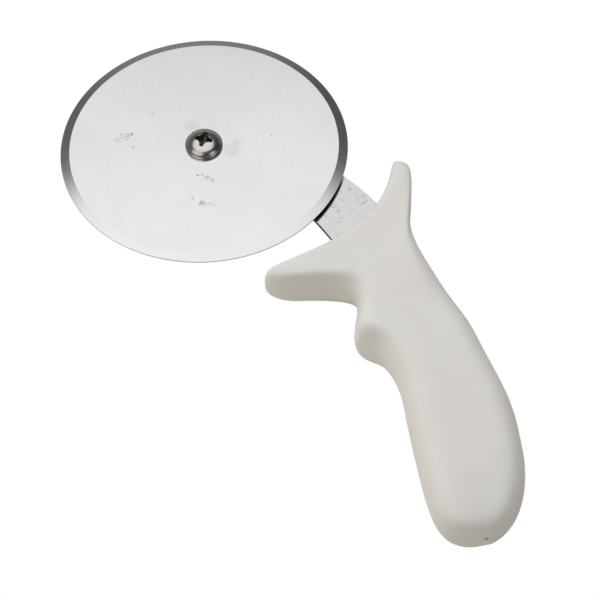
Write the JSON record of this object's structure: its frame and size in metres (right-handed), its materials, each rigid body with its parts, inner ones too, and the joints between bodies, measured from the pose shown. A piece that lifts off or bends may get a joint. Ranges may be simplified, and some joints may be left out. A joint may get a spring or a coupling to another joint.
{
  "type": "pastry cutter wheel",
  "caption": "Hand-held pastry cutter: a ground steel cutting wheel turns on a bushing at the end of a curved arm, set in a moulded handle with finger guards.",
  "frame": {"origin": "centre of the axle screw's flat tip, on the cutting wheel's axis", "axes": "+Z along the axle from the screw's tip to its head, +X along the handle towards its butt"},
  "size_m": [0.2283, 0.1156, 0.0236],
  "materials": {
    "blade_steel": "satin polished flat with a ground bevel",
    "arm_steel": "polished plate with faint water marks",
    "bolt_steel": "bright tumbled stainless",
    "bush_bronze": "turned, oiled",
    "thrust_nylon": "plain natural nylon",
    "washer_steel": "stamped and tumbled",
    "spring_steel": "dull spring stainless",
    "nut_steel": "bright stainless, lightly brushed",
    "handle_plastic": "satin moulded off-white polypropylene"
  },
  "bodies": {
    "frame": {"handle": "handle_plastic", "support_arm": "arm_steel", "axle_screw": "bolt_steel", "axle_bushing": "bush_bronze", "plain_washer": "washer_steel", "spring_washer": "spring_steel", "axle_nut": "nut_steel"},
    "wheel": {"cutter_wheel": "blade_steel"},
    "thrust_washer": {"thrust_washer": "thrust_nylon"}
  },
  "joints": [
    {"name": "wheel_spin", "type": "hinge", "parent": "frame", "child": "wheel", "pos_m": [0, 0, 0.01125], "axis": [0, 0, 1], "continuous": true},
    {"name": "thrust_washer_spin", "type": "hinge", "parent": "frame", "child": "thrust_washer", "pos_m": [0, 0, 0.0099], "axis": [0, 0, 1], "continuous": true}
  ]
}
